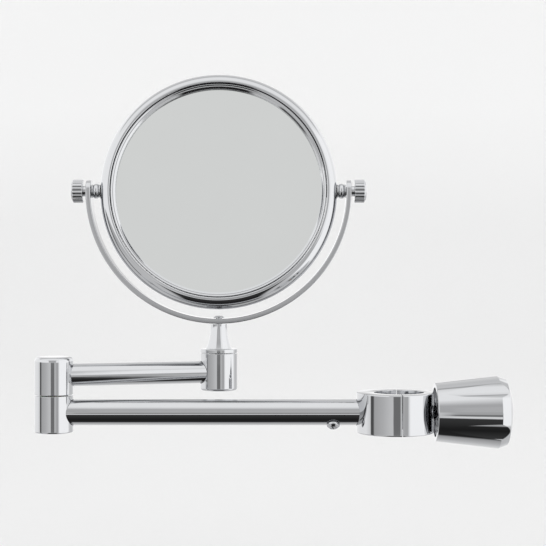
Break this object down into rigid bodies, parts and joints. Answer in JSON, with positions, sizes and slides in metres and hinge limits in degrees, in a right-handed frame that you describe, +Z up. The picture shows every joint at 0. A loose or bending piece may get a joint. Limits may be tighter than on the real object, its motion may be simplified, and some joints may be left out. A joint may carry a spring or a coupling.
{
  "type": "extendable shaving mirror",
  "caption": "Round two-sided tilting mirror in a half-ring yoke on a folding tube arm, held by a split clamp that grips a vertical shower rail with a fluted knob.",
  "frame": {"origin": "centre of the rail clamp's bore, at the clamp's mid-height", "axes": "+X from the rail towards the clamp knob, +Z up along the rail, -Y towards the person who uses the plain glass"},
  "size_m": [0.2964, 0.0691, 0.2368],
  "materials": {
    "polished_chrome": "bright chrome plate on polished brass",
    "plated_screw": "chrome plated steel screw",
    "plain_steel": "zinc plated steel",
    "raw_brass": "turned brass",
    "silvered_glass": "back-silvered glass",
    "white_nylon": "moulded nylon",
    "grey_fibre": "fibre board"
  },
  "bodies": {
    "clamp_and_lower_arm": {"clamp_body": "polished_chrome", "clamp_jaw": "polished_chrome", "jaw_screw_front": "plain_steel", "jaw_screw_rear": "plain_steel", "arm_bolt": "plain_steel", "arm_insert": "raw_brass", "arm_fixing_screw": "plated_screw", "lower_arm_tube": "polished_chrome", "lower_knuckle": "polished_chrome", "pivot_friction_washer": "white_nylon", "pivot_spring_washer": "plain_steel", "pivot_plug": "polished_chrome"},
    "upper_arm": {"upper_knuckle": "polished_chrome", "pivot_bolt": "plain_steel", "upper_arm_tube": "polished_chrome", "swivel_barrel": "polished_chrome", "swivel_bush": "white_nylon", "barrel_plug": "polished_chrome"},
    "yoke_assembly": {"stem": "polished_chrome", "stem_washer": "white_nylon", "stem_screw": "plain_steel", "yoke": "polished_chrome", "yoke_screw": "plated_screw"},
    "mirror": {"mirror_frame": "polished_chrome", "bezel_front": "polished_chrome", "bezel_rear": "polished_chrome", "plain_glass": "silvered_glass", "magnifying_glass": "silvered_glass", "backing_disc": "grey_fibre", "pivot_insert_left": "raw_brass", "pivot_insert_right": "raw_brass", "pivot_spacer_left": "polished_chrome", "pivot_spacer_right": "polished_chrome"},
    "left_thumb_knob": {"thumb_knob_left": "polished_chrome", "thumb_stud_left": "plain_steel"},
    "right_thumb_knob": {"thumb_knob_right": "polished_chrome", "thumb_stud_right": "plain_steel"},
    "pad": {"pressure_pad": "white_nylon"},
    "knob": {"clamp_spindle": "polished_chrome", "clamp_knob": "polished_chrome", "knob_screw": "plain_steel", "knob_end_cap": "polished_chrome"}
  },
  "joints": [
    {"name": "arm_swing", "type": "hinge", "parent": "clamp_and_lower_arm", "child": "upper_arm", "pos_m": [-0.214, 0, 0.0109], "axis": [0, 0, 1], "continuous": true},
    {"name": "yoke_swivel", "type": "hinge", "parent": "upper_arm", "child": "yoke_assembly", "pos_m": [-0.11287, 0.02824, 0.0352], "axis": [0, 0, 1], "continuous": true},
    {"name": "mirror_tilt", "type": "hinge", "parent": "yoke_assembly", "child": "mirror", "pos_m": [-0.11287, 0.02824, 0.1389], "axis": [1, 0, 0], "continuous": true},
    {"name": "left_thumb_turn", "type": "hinge", "parent": "mirror", "child": "left_thumb_knob", "pos_m": [-0.2, 0.02824, 0.1389], "axis": [-1, 0, 0], "range_deg": [0, 180]},
    {"name": "right_thumb_turn", "type": "hinge", "parent": "mirror", "child": "right_thumb_knob", "pos_m": [-0.025, 0.02824, 0.1389], "axis": [1, 0, 0], "range_deg": [0, 180]},
    {"name": "pad_slide", "type": "slide", "parent": "clamp_and_lower_arm", "child": "pad", "axis": [1, 0, 0], "range_m": [0, 0.0051]},
    {"name": "knob_turn", "type": "hinge", "parent": "pad", "child": "knob", "pos_m": [0.04, 0, 0], "axis": [1, 0, 0], "range_deg": [0, 1440]}
  ],
  "couplings": [
    {"joint": "pad_slide", "follows": "knob_turn", "m_per_rad": 0.00019894}
  ]
}
